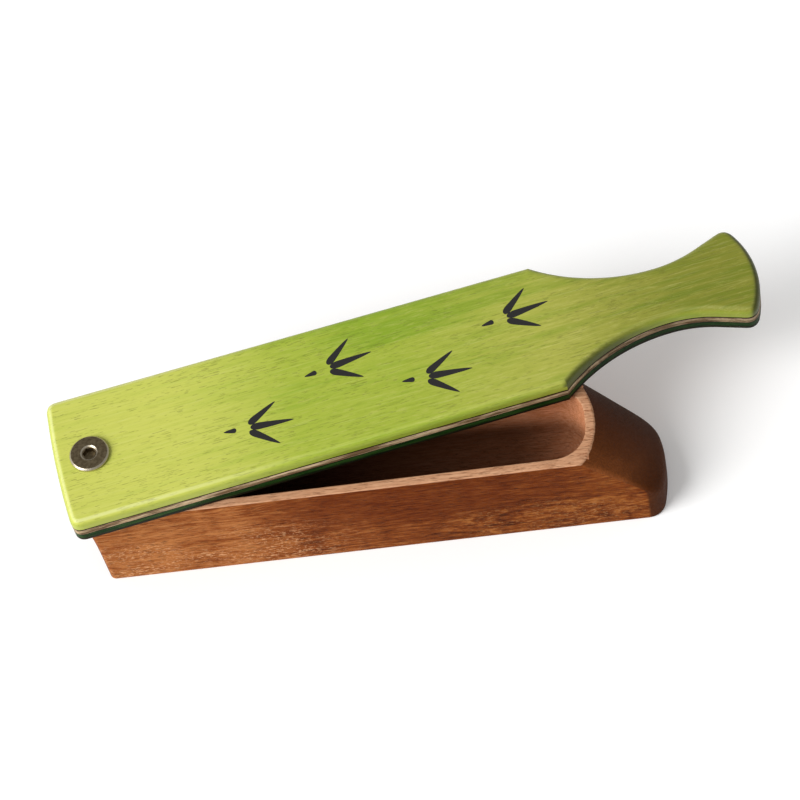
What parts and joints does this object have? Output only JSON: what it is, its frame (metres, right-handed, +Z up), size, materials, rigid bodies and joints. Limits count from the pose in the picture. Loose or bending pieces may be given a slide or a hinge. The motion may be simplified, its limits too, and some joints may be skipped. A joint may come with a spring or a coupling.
{
  "type": "box turkey call",
  "caption": "Friction turkey call: a hollow wooden sound box with a laminated paddle lid that swings and tips on a spring-loaded pivot bolt.",
  "frame": {"origin": "on the base plane, under the axis of the pivot bolt", "axes": "+Z up along the pivot bolt; +X along the box from the pivot to the nose; +Y the side that the lid is swung towards"},
  "size_m": [0.2439, 0.0894, 0.0531],
  "materials": {
    "mahogany": "open-grained mahogany under thin satin varnish",
    "lime_face": "dyed lime green, satin, with fine dark pores",
    "dark_glue": "dark resin line, satin",
    "tan_ply": "natural veneer edge, satin",
    "green_ply": "dyed dark green, satin",
    "brown_ply": "dyed brown; the underside is left bare for chalk",
    "black_print": "screen-printed black ink, matte",
    "bolt_bronze": "antique bronze plating with a bright worn chamfer",
    "washer_steel": "plain zinc-plated steel",
    "spring_steel": "bright spring wire",
    "insert_brass": "machined brass"
  },
  "bodies": {
    "box": {"sound_box": "mahogany", "threaded_insert": "insert_brass", "spring_seat": "washer_steel", "pivot_spring": "spring_steel"},
    "thrust_washer": {"thrust_washer": "washer_steel"},
    "lid": {"lid_striker_ply": "brown_ply", "lid_green_ply": "green_ply", "lid_tan_ply_lower": "tan_ply", "lid_tan_ply_upper": "tan_ply", "lid_glue_line": "dark_glue", "lid_face_ply": "lime_face"},
    "head_washer": {"head_washer": "washer_steel"},
    "bolt": {"pivot_bolt": "bolt_bronze"}
  },
  "joints": [
    {"name": "lid_swing", "type": "hinge", "parent": "box", "child": "thrust_washer", "pos_m": [0, 0, 0.0405], "axis": [0, 0, 1], "continuous": true},
    {"name": "lid_lift", "type": "hinge", "parent": "thrust_washer", "child": "lid", "pos_m": [-0.00352, -0.00074, 0.0408], "axis": [0.2043, -0.9789, 0], "range_deg": [0, 1.8]},
    {"name": "tension_rise", "type": "slide", "parent": "box", "child": "head_washer", "axis": [0, 0, 1], "range_m": [0, 0.001]},
    {"name": "tension_turn", "type": "hinge", "parent": "head_washer", "child": "bolt", "pos_m": [0, 0, 0.0405], "axis": [0, 0, 1], "range_deg": [0, 360]}
  ],
  "couplings": [
    {"joint": "tension_turn", "follows": "tension_rise", "rad_per_m": 6283.1}
  ]
}
